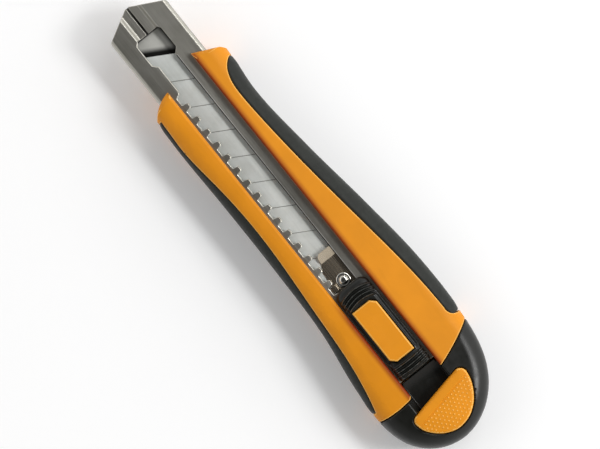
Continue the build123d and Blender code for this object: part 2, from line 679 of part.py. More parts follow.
def make_latch():
    """Strip under the button's leg whose tooth hooks in front of the deck's rear edge."""
    strip = box(LATCH_X, (-LATCH_HALF, LATCH_HALF), LATCH_Z)
    tooth = polygon(
        (TOOTH_X[0], LATCH_Z[1] - 0.3), (TOOTH_X[0], TOOTH_TOP), (TOOTH_X[0] + 0.7, TOOTH_TOP),
        (TOOTH_X[1], LATCH_Z[1]), (TOOTH_X[1], LATCH_Z[1] - 0.3),
    )
    strip += Plane.XZ.offset(-LATCH_HALF) * extrude(tooth, 2 * LATCH_HALF)
    return strip - pin(LATCH_SCREW, LATCH_SHANK + FIT, (LATCH_Z[0] - 1, LATCH_Z[1] + 1))


def make_latch_screw():
    """Screw from below that joins latch and button."""
    return cross_screw(LATCH_SCREW, LATCH_Z[0] - LATCH_HEAD[1], LATCH_HEAD, LATCH_SHANK, LATCH_SCREW_TOP)


def make_button_spring():
    """Coil spring that lifts the button."""
    height = SPRING_Z[1] - SPRING_Z[0] - 2 * SPRING_WIRE
    coil = Helix(height / SPRING_TURNS, height, SPRING_RADIUS)
    section = Plane(origin=coil @ 0, z_dir=coil % 0) * Circle(SPRING_WIRE)
    return Pos(SPRING_AT[0], SPRING_AT[1], SPRING_Z[0] + SPRING_WIRE) * sweep(section, path=coil)


def make_parts():
    """Every named node of the knife."""
    return {
        **make_handle(),
        "rest_pad": make_rest_pad(),
        "shell_screws": make_shell_screws(),
        "blade_channel": make_channel(),
        "blade": blade_blank(TIP_X, BLADE_TOP),
        "spare_blades": make_spare_blades(),
        "blade_tray": make_tray(),
        "tray_spring": make_tray_spring(),
        "slider_pad": make_slider_pad(),
        "slider_insert": make_insert(),
        "blade_carriage": make_carriage(),
        "carriage_screws": make_carriage_screws(),
        "lock_spring": make_lock_spring(),
        "blade_stud": make_stud(),
        "end_cap": make_cap(),
        "release_button": make_button(),
        "cap_latch": make_latch(),
        "latch_screw": make_latch_screw(),
        "button_spring": make_button_spring(),
    }


os.makedirs("parts", exist_ok=True)
for name, shape in make_parts().items():
    solids = shape if isinstance(shape, list) else shape.solids()
    print(name, [round(s.volume, 1) for s in solids])
    export_step(solids[0] if len(solids) == 1 else Compound(children=list(solids)), f"parts/{name}.step")
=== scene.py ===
"""Looks of the snap-off utility knife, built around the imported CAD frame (metres)."""

import json
import math

import bmesh
import bpy
from mathutils import Matrix, Vector


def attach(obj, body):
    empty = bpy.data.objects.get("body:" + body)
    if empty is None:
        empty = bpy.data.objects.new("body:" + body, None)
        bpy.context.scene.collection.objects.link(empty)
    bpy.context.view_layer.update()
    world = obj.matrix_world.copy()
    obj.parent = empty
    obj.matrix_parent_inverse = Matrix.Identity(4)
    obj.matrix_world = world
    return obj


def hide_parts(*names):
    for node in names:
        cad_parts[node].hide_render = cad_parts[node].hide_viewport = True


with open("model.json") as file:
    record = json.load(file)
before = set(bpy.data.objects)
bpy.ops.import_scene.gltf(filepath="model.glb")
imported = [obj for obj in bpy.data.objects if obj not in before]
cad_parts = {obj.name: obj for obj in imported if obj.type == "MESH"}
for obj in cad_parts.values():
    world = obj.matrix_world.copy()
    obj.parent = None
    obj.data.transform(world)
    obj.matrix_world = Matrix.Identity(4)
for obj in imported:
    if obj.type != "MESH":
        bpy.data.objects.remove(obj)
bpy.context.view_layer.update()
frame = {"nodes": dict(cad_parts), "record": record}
MM = 0.001
ROLL = math.radians(51.3)

# Places on the knife that its colours follow, in millimetres
FLOOR_UNDER = 11.4
FLOOR_OVER = 12.6
FLOOR_HALF = 10.4
WINDOW_FRONT = 74.1
UPPER_LIP_UNDER = 15.0
UPPER_LIP_EDGE = -2.72
UPPER_LIP_FRONT = 63.4
SCORE_SLANT = math.radians(60)
SCORE_PITCH = 10.0
BLADE_END = 65.904


# ------------------------------------------------------------------ materials

class Nodes:
    """Short calls for building one procedural material."""

    def __init__(self, name, **shader):
        self.material = bpy.data.materials.new(name)
        self.material.use_nodes = True
        self.tree = self.material.node_tree
        self.shader = self.tree.nodes["Principled BSDF"]
        for socket, value in shader.items():
            self.shader.inputs[socket.replace("_", " ")].default_value = value
        self.where = self.tree.nodes.new("ShaderNodeTexCoord").outputs["Object"]

    def add(self, kind, **settings):
        node = self.tree.nodes.new(kind)
        for key, value in settings.items():
            setattr(node, key, value)
        return node

    def link(self, source, target):
        self.tree.links.new(source, target)

    def place(self, scale, turn=0.0):
        """Object coordinates in metres, scaled per axis and turned about Z."""
        mapping = self.add("ShaderNodeMapping")
        mapping.inputs["Scale"].default_value = scale
        mapping.inputs["Rotation"].default_value = (0, 0, turn)
        self.link(self.where, mapping.inputs["Vector"])
        return mapping.outputs["Vector"]

    def noise(self, size_mm, detail=4.0, rough=0.55, stretch=(1, 1, 1), turn=0.0):
        """Noise whose features are about size_mm across."""
        node = self.add("ShaderNodeTexNoise")
        factor = 1 / (size_mm * MM)
        self.link(self.place([factor * s for s in stretch], turn), node.inputs["Vector"])
        node.inputs["Scale"].default_value = 1.0
        node.inputs["Detail"].default_value = detail
        node.inputs["Roughness"].default_value = rough
        return node.outputs["Fac"]

    def ramp(self, factor, stops):
        """Colour ramp from (position, colour) stops."""
        node = self.add("ShaderNodeValToRGB")
        ramp = node.color_ramp
        while len(ramp.elements) < len(stops):
            ramp.elements.new(0.5)
        for element, (position, colour) in zip(ramp.elements, stops):
            element.position = position
            element.color = (*colour, 1.0)
        self.link(factor, node.inputs["Fac"])
        return node.outputs["Color"]

    def spread(self, factor, low, high):
        """A factor remapped between two values."""
        node = self.add("ShaderNodeMapRange")
        node.inputs["From Min"].default_value = 0.3
        node.inputs["From Max"].default_value = 0.7
        node.inputs["To Min"].default_value = low
        node.inputs["To Max"].default_value = high
        self.link(factor, node.inputs["Value"])
        return node.outputs["Result"]

    def mix(self, factor, a, b, blend="MIX"):
        """Mix of two colours."""
        node = self.add("ShaderNodeMix", data_type="RGBA", blend_type=blend)
        for socket, value in ((node.inputs["Factor"], factor), (node.inputs[6], a), (node.inputs[7], b)):
            if hasattr(value, "is_linked"):
                self.link(value, socket)
            else:
                socket.default_value = value
        return node.outputs[2]

    def math(self, kind, a, b=0.0):
        """One arithmetic step on factors or numbers."""
        node = self.add("ShaderNodeMath", operation=kind)
        for socket, value in zip(node.inputs, (a, b)):
            if hasattr(value, "is_linked"):
                self.link(value, socket)
            else:
                socket.default_value = value
        return node.outputs["Value"]

    def position(self, axis):
        """One coordinate of the surface point, in metres."""
        split = self.add("ShaderNodeSeparateXYZ")
        self.link(self.where, split.inputs["Vector"])
        return split.outputs[axis]

    def fade(self, value, start_mm, end_mm):
        """0 at start_mm and 1 at end_mm, with soft ends."""
        node = self.add("ShaderNodeMapRange", interpolation_type="SMOOTHSTEP")
        self.link(value, node.inputs["Value"])
        node.inputs["From Min"].default_value = start_mm * MM
        node.inputs["From Max"].default_value = end_mm * MM
        return node.outputs["Result"]

    def bump(self, heights):
        """Chained bumps from (height, depth in mm, strength)."""
        normal = None
        for height, depth, strength in heights:
            node = self.add("ShaderNodeBump")
            node.inputs["Distance"].default_value = depth * MM
            node.inputs["Strength"].default_value = strength
            self.link(height, node.inputs["Height"])
            if normal:
                self.link(normal, node.inputs["Normal"])
            normal = node.outputs["Normal"]
        self.link(normal, self.shader.inputs["Normal"])

    def paint(self, colour, roughness):
        self.link(colour, self.shader.inputs["Base Color"])
        self.link(roughness, self.shader.inputs["Roughness"])


def shade(colour, factor):
    return tuple(channel * factor for channel in colour)


def plastic(name, colour, rough, gloss=0.4, slot_shade=False):
    """Moulded plastic: slow colour drift, spark-eroded grain and faint handling scuffs."""
    n = Nodes(name, Specular_IOR_Level=gloss)
    drift = n.noise(14, detail=3)
    base = n.ramp(drift, [(0.3, shade(colour, 0.94)), (0.7, shade(colour, 1.06))])
    scuff = n.noise(3.0, detail=8, rough=0.7, stretch=(0.25, 1, 1), turn=0.5)
    tone = n.ramp(scuff, [(0.55, (1, 1, 1)), (0.85, (0.9, 0.9, 0.9))])
    base = n.mix(1.0, base, tone, "MULTIPLY")
    # Painted shade: the slot's edges are coloured deeper red
    if slot_shade:
        base = paint_slot_shade(n, base)
    n.paint(base, n.spread(n.noise(2.2, detail=6), *rough))
    n.bump([(n.noise(4.0, detail=2), 0.02, 0.25), (n.noise(0.22, detail=2), 0.012, 0.5)])
    return n.material


def rubber(name, colour):
    """Soft elastomer: dull, dusty in places, with a fine dry grain."""
    n = Nodes(name, Specular_IOR_Level=0.3, Sheen_Weight=0.04, Sheen_Roughness=0.5)
    dust = n.noise(9, detail=5, rough=0.65)
    base = n.ramp(dust, [(0.3, shade(colour, 0.85)), (0.55, colour), (0.8, shade(colour, 1.5))])
    n.paint(base, n.spread(n.noise(1.5, detail=6), 0.48, 0.66))
    n.bump([(n.noise(5.0, detail=2), 0.04, 0.3), (n.noise(0.3, detail=3), 0.02, 0.6)])
    return n.material


def beyond_slant(n):
    """Place along the knife, measured on lines that slant like the blade's end."""
    lean = n.math("MULTIPLY", n.position("Y"), 1 / math.tan(SCORE_SLANT))
    return n.math("SUBTRACT", n.position("X"), lean)


def score_line_shade(n):
    """Painted shade in the scribed score grooves across the blade: dark lines one pitch apart, slanting
    at 60 degrees.
    """
    along = n.math("DIVIDE", beyond_slant(n), SCORE_PITCH * MM)
    phase = n.math("FRACT", n.math("ADD", along, 100.5 - BLADE_END / SCORE_PITCH))
    off = n.math("MULTIPLY", n.math("ABSOLUTE", n.math("SUBTRACT", phase, 0.5)), SCORE_PITCH)
    return n.ramp(off, [(0.07, (0.42, 0.41, 0.4)), (0.16, (1.0, 1.0, 1.0))])


def inner_floor(n, rough, colour):
    """The channel's floor is dull and pale in the window, with painted shadow beside the blade's end and
    under the upper lip's edge, and painted shade in the nose.
    """
    inside = n.math("LESS_THAN", n.position("Z"), FLOOR_OVER * MM)
    inside = n.math("MULTIPLY", inside, n.math("GREATER_THAN", n.position("Z"), FLOOR_UNDER * MM))
    side = n.math("ABSOLUTE", n.position("Y"))
    inside = n.math("MULTIPLY", inside, n.math("LESS_THAN", side, FLOOR_HALF * MM))
    beyond = beyond_slant(n)
    # Painted shadow of the blade's end on the floor, then of the upper lip along the floor's top edge
    unshaded = n.fade(beyond, BLADE_END + 1.2, BLADE_END + 3.6)
    unshaded = n.math("MAXIMUM", unshaded, n.fade(beyond, BLADE_END - 1.0, BLADE_END - 3.0))
    unshaded = n.math("MULTIPLY", unshaded, n.fade(n.position("Y"), -4.6, -2.8))
    pale = n.mix(0.5, colour, (0.85, 0.86, 0.83, 1))
    tone = n.mix(unshaded, (0.02, 0.02, 0.018, 1), pale)
    # Painted shade deep in the nose, beyond the window
    nose_shade = n.fade(n.position("X"), WINDOW_FRONT - 0.5, WINDOW_FRONT)
    tone = n.mix(nose_shade, tone, (0.08, 0.08, 0.075, 1))
    return n.math("ADD", rough, n.math("MULTIPLY", inside, 0.3)), n.mix(inside, colour, tone)


def lip_line(n, colour):
    """Painted shade along the sheared edge of the upper lip, a dark line where the lip shades the gap
    over the blade, with a painted highlight line beside it.
    """
    off = n.math("ABSOLUTE", n.math("SUBTRACT", n.position("Y"), UPPER_LIP_EDGE * MM))
    on_lip = n.math("LESS_THAN", n.position("X"), UPPER_LIP_FRONT * MM)
    on_lip = n.math("MULTIPLY", on_lip, n.math("GREATER_THAN", n.position("Z"), UPPER_LIP_UNDER * MM))
    # Painted highlight line beside the lip's edge, then a painted shade line on the edge itself
    painted_highlight_line = n.math("MULTIPLY", n.fade(off, 0.52, 0.42), on_lip)
    dark = n.math("MULTIPLY", n.fade(off, 0.3, 0.2), on_lip)
    return n.mix(dark, n.mix(painted_highlight_line, colour, (0.95, 0.93, 0.88, 1)), (0.03, 0.028, 0.025, 1))


def paint_slot_shade(n, colour):
    """Painted shade: deeper red near the top of the slot's edges, all along its upper side and rearward
    below, where the rails and the slider shade them.
    """
    upper = n.fade(n.position("Y"), -8.8, -6.4)
    upper = n.math("MULTIPLY", upper, n.math("LESS_THAN", n.position("Y"), 0.0))
    lower = n.math("MULTIPLY", n.fade(n.position("Y"), 9.0, 6.7), n.fade(n.position("X"), -24, -36))
    lower = n.math("MULTIPLY", lower, n.math("GREATER_THAN", n.position("Y"), 0.0))
    near_top = n.fade(n.position("Z"), 16.6, 18.4)
    both = n.math("MULTIPLY", n.math("MAXIMUM", upper, lower), near_top)
    return n.mix(both, colour, (0.24, 0.025, 0.003, 1))


def steel(name, colour, rough, grain_turn=0.0, streak=0.12, aniso=0.4, scored=False, folded=False):
    """Rolled or ground steel: directional grain, smudges and faint stains."""
    n = Nodes(name, Metallic=1.0, Anisotropic=aniso)
    grain = n.noise(1.0, detail=3, rough=0.6, stretch=(0.06, 7.0, 7.0), turn=grain_turn)
    smudge = n.noise(7.0, detail=6, rough=0.62)
    base = n.ramp(grain, [(0.25, shade(colour, 1 - streak)), (0.75, shade(colour, 1 + streak))])
    tone = n.ramp(smudge, [(0.3, (1, 1, 1)), (0.8, (0.8, 0.8, 0.77))])
    rough_fine = n.spread(grain, rough - 0.05, rough + 0.05)
    base = n.mix(1.0, base, tone, "MULTIPLY")
    if scored:
        # Painted shade of the score grooves
        base = n.mix(1.0, base, score_line_shade(n), "MULTIPLY")
    # Painted shadow, shade and highlight on the channel's floor and upper lip
    if folded:
        rough_fine, base = inner_floor(n, rough_fine, lip_line(n, base))
    n.paint(base, rough_fine)
    n.bump([(smudge, 0.01, 0.15), (grain, 0.006, 0.35)])
    return n.material


MATERIALS = {
    "orange_shell": plastic("orange_shell", (0.73, 0.265, 0.009), (0.45, 0.56), gloss=0.2, slot_shade=True),
    "orange_trim": plastic("orange_trim", (0.75, 0.275, 0.010), (0.45, 0.56), gloss=0.22),
    "grip_rubber": rubber("grip_rubber", (0.014, 0.016, 0.0125)),
    "black_plastic": plastic("black_plastic", (0.0065, 0.0068, 0.0052), (0.27, 0.38)),
    "inner_plastic": plastic("inner_plastic", (0.05, 0.05, 0.05), (0.4, 0.55)),
    "channel_steel": steel("channel_steel", (0.52, 0.505, 0.455), 0.35, folded=True),
    "blade_steel": steel(
        "blade_steel", (0.78, 0.8, 0.775), 0.56,
        grain_turn=math.radians(90), streak=0.05, aniso=0.2, scored=True,
    ),
    "spring_steel": steel("spring_steel", (0.62, 0.53, 0.41), 0.25),
    "stud_steel": steel("stud_steel", (0.85, 0.83, 0.78), 0.14, streak=0.03, aniso=0.0),
    "zinc_screw": steel("zinc_screw", (0.5, 0.5, 0.48), 0.3, streak=0.04, aniso=0.0),
}
# Painted highlights: paler, glossier copies of the plastics for rounded edges, dome tops and rib crests
# that catch the light
PAINTED_HIGHLIGHTS = {
    "orange": plastic("orange_painted_highlight", (0.88, 0.44, 0.075), (0.34, 0.44)),
    "black": plastic("black_painted_highlight", (0.04, 0.042, 0.038), (0.16, 0.24), gloss=0.9),
}


# ------------------------------------------------------------------ mesh helpers

def curve_through(points):
    """Smooth function through (x, y) points, which rise in x."""
    xs = [p[0] for p in points]
    ys = [p[1] for p in points]
    chords = [(ys[i + 1] - ys[i]) / (xs[i + 1] - xs[i]) for i in range(len(xs) - 1)]
    slopes = [chords[0]]
    for i in range(1, len(xs) - 1):
        left, right = xs[i] - xs[i - 1], xs[i + 1] - xs[i]
        slopes.append((chords[i - 1] * right + chords[i] * left) / (left + right))
    slopes.append(chords[-1])

    def value(x):
        x = min(max(x, xs[0]), xs[-1])
        i = max(k for k in range(len(xs) - 1) if xs[k] <= x)
        width = xs[i + 1] - xs[i]
        t = (x - xs[i]) / width
        before, after = slopes[i] - chords[i], slopes[i + 1] - chords[i]
        bend = t * (1 - t) * width * (before * (1 - t) - after * t)
        return ys[i] + chords[i] * width * t + bend

    return value


def smooth_step(t):
    t = min(max(t, 0.0), 1.0)
    return t * t * (3 - 2 * t)


def round_off(distance, radius):
    """How far a rounded edge lies below its corner, at a distance from that corner."""
    if distance >= radius:
        return 0.0
    return radius - math.sqrt(max(0.0, radius ** 2 - (radius - distance) ** 2))


def spaced(low, high, count, fine):
    """Even spacing between two limits, with fine steps next to both of them."""
    near = [step for step in fine if step < (high - low) / 3]
    start, stop = low + near[-1], high - near[-1]
    even = [start + (stop - start) * i / (count - 1) for i in range(1, count - 1)]
    return [low, *(low + s for s in near), *even, *(high - s for s in reversed(near)), high]


def add_grid(bm, rows):
    """Quads over rows of points in millimetres; returns the rows of vertices."""
    made = [[bm.verts.new([c * MM for c in point]) for point in row] for row in rows]
    for lower, upper in zip(made, made[1:]):
        for i in range(len(lower) - 1):
            bm.faces.new((lower[i], lower[i + 1], upper[i + 1], upper[i]))
    return made


def rim_of(rows):
    """The outer ring of a grid of vertices, in order."""
    ring = list(rows[0]) + [row[-1] for row in rows[1:]]
    return ring + list(reversed(rows[-1]))[1:] + [row[0] for row in reversed(rows[1:-1])]


def finish_piece(bm, name, slot, body, replaced, sharp):
    """Turns a bmesh into a shaded piece that rides on its body and stands for CAD nodes."""
    bmesh.ops.recalc_face_normals(bm, faces=bm.faces)
    for face in bm.faces:
        face.smooth = True
    for edge in bm.edges:
        edge.smooth = edge.calc_face_angle(0) < math.radians(sharp)
    mesh = bpy.data.meshes.new(name)
    bm.to_mesh(mesh)
    bm.free()
    mesh.materials.append(MATERIALS[slot])
    piece = bpy.data.objects.new(name, mesh)
    bpy.context.scene.collection.objects.link(piece)
    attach(piece, body)
    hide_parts(*replaced)
    return piece


def slot_of(name):
    return next(e["material_slot"] for e in frame["record"]["subparts"] if e["node"] == name)


def body_of(name):
    bodies = frame["record"]["behaviour"]["bodies"]
    return next(body for body, members in bodies.items() if name in members)


def softened(name, width_at, segments=3, angle=30, move=None, rim=None):
    """The CAD node's shape, with each sharp edge rounded.

    width_at(middle, direction) gives an edge's rounding in mm; edges near the angle limit get less.
    """
    bm = bmesh.new()
    bm.from_mesh(frame["nodes"][name].data)
    bmesh.ops.remove_doubles(bm, verts=bm.verts, dist=2e-6)
    for vert in bm.verts if move else ():
        vert.co = move(vert.co)
    bmesh.ops.dissolve_limit(bm, angle_limit=math.radians(0.4), verts=bm.verts, edges=bm.edges)
    widths = {}
    for edge in bm.edges:
        excess = math.degrees(edge.calc_face_angle(0)) - angle if edge.is_manifold else 0
        if excess > 0:
            a, b = (vert.co / MM for vert in edge.verts)
            share = smooth_step(0.2 + excess / 15)
            widths[edge.index] = share * width_at((a + b) / 2, (b - a).normalized())
    widest = max(widths.values())
    layer = bm.edges.layers.float.new("bevel_weight_edge")
    bm.edges.ensure_lookup_table()
    for index, width in widths.items():
        bm.edges[index][layer] = width / widest
    piece = finish_piece(bm, name + "_soft", slot_of(name), body_of(name), [name], 180)
    bevel = piece.modifiers.new("soft_edges", "BEVEL")
    bevel.width = widest * MM
    bevel.segments = segments
    bevel.limit_method = "WEIGHT"
    bevel.use_clamp_overlap = False
    # Painted highlight: the bevelled edges take the paler, glossier highlight material
    if rim:
        piece.data.materials.append(PAINTED_HIGHLIGHTS[rim])
        bevel.material = 1
    even = piece.modifiers.new("even_normals", "WEIGHTED_NORMAL")
    even.weight = 60
    return piece


# ------------------------------------------------------------------ rubber grips

TOP, BACK, ROUND = 19.0, 0.4, 6.0
SLOPE = math.radians(6.0)
FINE = (0.12, 0.28, 0.48, 0.72, 1.05, 1.5, 2.1)
SPINE_REACH = [
    (-63.1, 20.6), (-50.8, 21.9), (-32.2, 22.0), (-7.6, 19.7), (17.1, 16.7), (41.8, 14.95),
    (54.2, 16.1), (66.0, 15.9),
]
EDGE_REACH = [
    (-76.2, 16.0), (-66.5, 19.1), (-52.7, 18.5), (-32.2, 15.8), (-7.6, 14.95), (17.1, 14.9),
    (41.8, 15.15), (52.0, 14.8), (66.0, 14.0),
]
SPINE_SEAM = [
    (-52.55, 20.3), (-52.3, 19.5), (-51.6, 18.95), (-50.4, 18.6), (-48.0, 18.42), (-38.4, 18.1),
    (-13.7, 15.6), (11.0, 12.75), (35.6, 10.8), (41.8, 10.6), (46.4, 10.95), (51.1, 12.9),
    (53.1, 15.2),
]
EDGE_SEAM = [
    (-61.4, 18.3), (-56.9, 17.2), (-44.6, 15.1), (-26.1, 13.65), (-7.6, 12.35), (4.8, 11.95),
    (17.1, 12.35), (29.5, 13.5), (40.3, 14.25), (44.9, 14.05), (50.2, 13.9),
]


def flank(reach, start, crest):
    """(y, z) points round the handle's side, from a grip's front edge to its back edge."""
    centre = reach - ROUND
    high = TOP - max(0.0, centre - crest) * math.tan(SLOPE) - ROUND / math.cos(SLOPE)
    steep = math.pi / 2 - SLOPE
    path = []
    if start < centre + ROUND * math.cos(steep):
        path.append((start, TOP - max(0.0, start - crest) * math.tan(SLOPE)))
        first = steep
    else:
        first = math.acos(min(1.0, (start - centre) / ROUND))
    last = math.pi / 2 if start <= centre else math.acos(min(1.0, (start - centre) / ROUND))
    for i in range(17):
        turn = first * (1 - i / 16)
        path.append((centre + ROUND * math.cos(turn), high + ROUND * math.sin(turn)))
    for i in range(17):
        turn = last * i / 16
        path.append((centre + ROUND * math.cos(turn), BACK + ROUND - ROUND * math.sin(turn)))
    if start < centre:
        path.append((start, BACK))
    return path


def walk(path):
    """Spaced points along a path: place, outward direction, and distance from its nearer end."""
    lengths = [0.0]
    for a, b in zip(path, path[1:]):
        lengths.append(lengths[-1] + math.dist(a, b))
    total = lengths[-1]
    found = []
    for distance in spaced(0.0, total, 30, FINE):
        i = max(k for k in range(len(path) - 1) if lengths[k] <= distance + 1e-9)
        span = lengths[i + 1] - lengths[i]
        t = (distance - lengths[i]) / span
        a, b = path[i], path[i + 1]
        y, z = a[0] + (b[0] - a[0]) * t, a[1] + (b[1] - a[1]) * t
        out = ((a[1] - b[1]) / span, (b[0] - a[0]) / span)
        found.append((y, z, out, min(distance, total - distance)))
    return found


def make_grip(name, side, outline, seam, crest):
    """Rubber grip wrapped round one side of the handle, a little swollen, with a rounded rim."""
    reach_at, seam_at = curve_through(outline), curve_through(seam)
    x_low, x_high = seam[0][0] + 0.12, seam[-1][0] - 0.05
    outer, inner = [], []
    for x in spaced(x_low, x_high, 110, FINE):
        reach = reach_at(x)
        start = min(seam_at(x) + 0.12, reach - 0.05)
        from_end = min(x - x_low, x_high - x)
        outer_row, inner_row = [], []
        for y, z, out, from_rim in walk(flank(reach, start, crest)):
            distance = min(from_rim, from_end)
            lift = 0.25 * smooth_step(distance / 3.0) - round_off(distance, 0.75)
            outer_row.append((x, side * (y + out[0] * lift), z + out[1] * lift))
            inner_row.append((x, side * (y - out[0] * 1.7), z - out[1] * 1.7))
        outer.append(outer_row)
        inner.append(inner_row)
    bm = bmesh.new()
    outer_rim, inner_rim = rim_of(add_grid(bm, outer)), rim_of(add_grid(bm, inner))
    for i in range(len(outer_rim)):
        j = (i + 1) % len(outer_rim)
        bm.faces.new((outer_rim[i], outer_rim[j], inner_rim[j], inner_rim[i]))
    return finish_piece(bm, name + "_rubber", "grip_rubber", "handle", [name], 60)


# ------------------------------------------------------------------ raised pieces

def row_span(outline, across, along, level):
    """Where a line at a level crosses a convex outline: lowest and highest place across."""
    hits = []
    for a, b in zip(outline, outline[1:] + outline[:1]):
        la, lb = a[0] * along[0] + a[1] * along[1], b[0] * along[0] + b[1] * along[1]
        if min(la, lb) <= level <= max(la, lb) and la != lb:
            t = (level - la) / (lb - la)
            x, y = a[0] + (b[0] - a[0]) * t, a[1] + (b[1] - a[1]) * t
            hits.append(x * across[0] + y * across[1])
    return min(hits), max(hits)


def rim_distance(outline, x, y):
    """Distance from a point inside to the outline, and the index of the nearest side."""
    best, nearest = 1e9, 0
    for i, (a, b) in enumerate(zip(outline, outline[1:] + outline[:1])):
        run = (b[0] - a[0], b[1] - a[1])
        t = ((x - a[0]) * run[0] + (y - a[1]) * run[1]) / (run[0] ** 2 + run[1] ** 2)
        t = min(max(t, 0.0), 1.0)
        distance = math.hypot(x - a[0] - run[0] * t, y - a[1] - run[1] * t)
        if distance < best:
            best, nearest = distance, i
    return best, nearest


def raised(bm, outline, turn, columns, rows, height, under):
    """Closed block over a convex outline, whose top follows height(x, y, rim distance, side)."""
    across, along = (math.cos(turn), math.sin(turn)), (-math.sin(turn), math.cos(turn))
    levels = [p[0] * along[0] + p[1] * along[1] for p in outline]
    lowest, highest = min(levels), max(levels)
    grid = []
    for row in rows(lowest + 0.01, highest - 0.01):
        low, high = row_span(outline, across, along, row)
        line = []
        for column in columns:
            place = min(max(column, low), high)
            x, y = place * across[0] + row * along[0], place * across[1] + row * along[1]
            line.append((x, y, height(x, y, *rim_distance(outline, x, y))))
        grid.append(line)
    made = add_grid(bm, grid)
    mine = [v for line in made for v in line]
    bmesh.ops.remove_doubles(bm, verts=mine, dist=3e-6)
    mine = [v for v in mine if v.is_valid]
    edges = list({e for v in mine for e in v.link_edges if e.is_boundary})
    skirt = bmesh.ops.extrude_edge_only(bm, edges=edges)["geom"]
    lower = [g for g in skirt if isinstance(g, bmesh.types.BMVert)]
    for vert in lower:
        vert.co.z = under * MM
    base = set(lower)
    loop = [g for g in skirt if isinstance(g, bmesh.types.BMEdge) and base.issuperset(g.verts)]
    bmesh.ops.contextual_create(bm, geom=loop)


def arc_points(a, through, b, count):
    """Points on the arc from a to b, with a but without b."""
    ax, ay, bx, by, cx, cy = *a, *through, *b
    d = 2 * (ax * (by - cy) + bx * (cy - ay) + cx * (ay - by))
    sa, sb, sc = ax * ax + ay * ay, bx * bx + by * by, cx * cx + cy * cy
    ux = (sa * (by - cy) + sb * (cy - ay) + sc * (ay - by)) / d
    uy = (sa * (cx - bx) + sb * (ax - cx) + sc * (bx - ax)) / d
    radius = math.hypot(ax - ux, ay - uy)
    first, middle, last = (math.atan2(p[1] - uy, p[0] - ux) for p in (a, through, b))
    sweep = (last - first) % (2 * math.pi)
    if (middle - first) % (2 * math.pi) > sweep:
        sweep -= 2 * math.pi
    turns = [first + sweep * i / count for i in range(count)]
    return [(ux + radius * math.cos(t), uy + radius * math.sin(t)) for t in turns]


# ------------------------------------------------------------------ release button

BUTTON_ENDS = ((-66.05, -9.2), (-69.65, 9.0))
BUTTON_CORNERS = ((-70.2, 10.3), (-66.85, -11.0))
BUTTON_ARC = [
    (-71.6, 10.95), (-74.5, 10.2), (-77.0, 8.4), (-79.1, 5.9), (-80.4, 3.0), (-80.8, 0.4),
    (-80.3, -2.6), (-79.1, -5.2), (-76.7, -8.0), (-73.4, -10.2), (-70.8, -11.2), (-68.6, -11.6),
]
BUTTON_Z = (15.4, 19.8)
STRIP = 2.95
STEP = 0.35
DOT_PITCH = 1.35
DOT_RADIUS = 0.33
DOT_HEIGHT = 0.12


def spline_points(points, per_span):
    """Points on a Catmull-Rom curve, with the first but without the last."""
    padded = [points[0], *points, points[-1]]
    found = []
    for p0, p1, p2, p3 in zip(padded, padded[1:], padded[2:], padded[3:]):
        for i in range(per_span):
            t = i / per_span
            found.append(tuple(
                b + 0.5 * t * (c - a + t * (2 * a - 5 * b + 4 * c - d + t * (3 * b - a - 3 * c + d)))
                for a, b, c, d in zip(p0, p1, p2, p3)
            ))
    return found


def make_button():
    """D-shaped button: smooth raised strip along its straight edge, then a field of small domes."""
    front, far = BUTTON_ENDS
    outline = [front]
    outline += arc_points(far, BUTTON_CORNERS[0], BUTTON_ARC[0], 8)
    outline += spline_points(BUTTON_ARC, 5)
    outline += arc_points(BUTTON_ARC[-1], BUTTON_CORNERS[1], front, 8)
    turn = math.atan2(far[1] - front[1], far[0] - front[0]) + math.pi / 2
    across = (math.cos(turn), math.sin(turn))
    straight = front[0] * across[0] + front[1] * across[1]
    low_z, top_z = BUTTON_Z

    def height(x, y, distance, side):
        inside = abs(x * across[0] + y * across[1] - straight)
        radius = 1.25 if side == 0 else 0.7
        fall = STEP * smooth_step((inside - STRIP) / 0.25)
        crown = 0.35 * smooth_step(distance / 6.0)
        return top_z - 0.2 - fall - round_off(distance, radius) + crown

    reach = max(abs(p[0] * across[0] + p[1] * across[1] - straight) for p in outline)
    depths = [0, 0.1, 0.25, 0.45, 0.7, 1.0, 1.3, 1.8, 2.5]
    depths += [STRIP + step for step in (0, 0.12, 0.25, 0.5)]
    depths += [STRIP + 0.5 + (reach - STRIP - 0.5) * i / 26 for i in range(1, 27)]
    columns = sorted(straight + depth for depth in depths)

    def rows(low, high):
        return spaced(low, high, 44, (0.05, 0.15, 0.3, 0.5, 0.8))

    bm = bmesh.new()
    raised(bm, outline, turn, columns, rows, height, low_z)
    middle = (front[1] + far[1]) / 2 * across[0] - (front[0] + far[0]) / 2 * across[1]
    for row in range(9):
        for column in range(-9, 10):
            depth = STRIP + 0.95 + row * DOT_PITCH * math.sin(math.pi / 3)
            level = middle + (column + row % 2 / 2) * DOT_PITCH
            x = (straight + depth) * across[0] - level * across[1]
            y = (straight + depth) * across[1] + level * across[0]
            if inside_by(outline, x, y, 1.0):
                base = height(x, y, *rim_distance(outline, x, y))
                add_dome(bm, (x, y, base), DOT_RADIUS, DOT_HEIGHT)
    piece = finish_piece(bm, "release_button_domed", "orange_trim", "button", ["release_button"], 50)
    # Painted highlight along the D's curved rim and on the dome tops
    piece.data.materials.append(PAINTED_HIGHLIGHTS["orange"])
    for face in piece.data.polygons:
        x, y, z = face.center / MM
        distance, side = rim_distance(outline, x, y)
        rim = face.normal.z > 0.2 and z > top_z - 1.2 and 0.08 < distance < 0.42 and side != 0
        face.material_index = max(face.material_index, int(rim))
    return piece


def inside_by(outline, x, y, margin):
    """Whether a point is inside an outline and at least a margin from it."""
    crossings = 0
    for a, b in zip(outline, outline[1:] + outline[:1]):
        if (a[1] > y) != (b[1] > y):
            crossings += x < a[0] + (b[0] - a[0]) * (y - a[1]) / (b[1] - a[1])
    return crossings % 2 == 1 and rim_distance(outline, x, y)[0] > margin


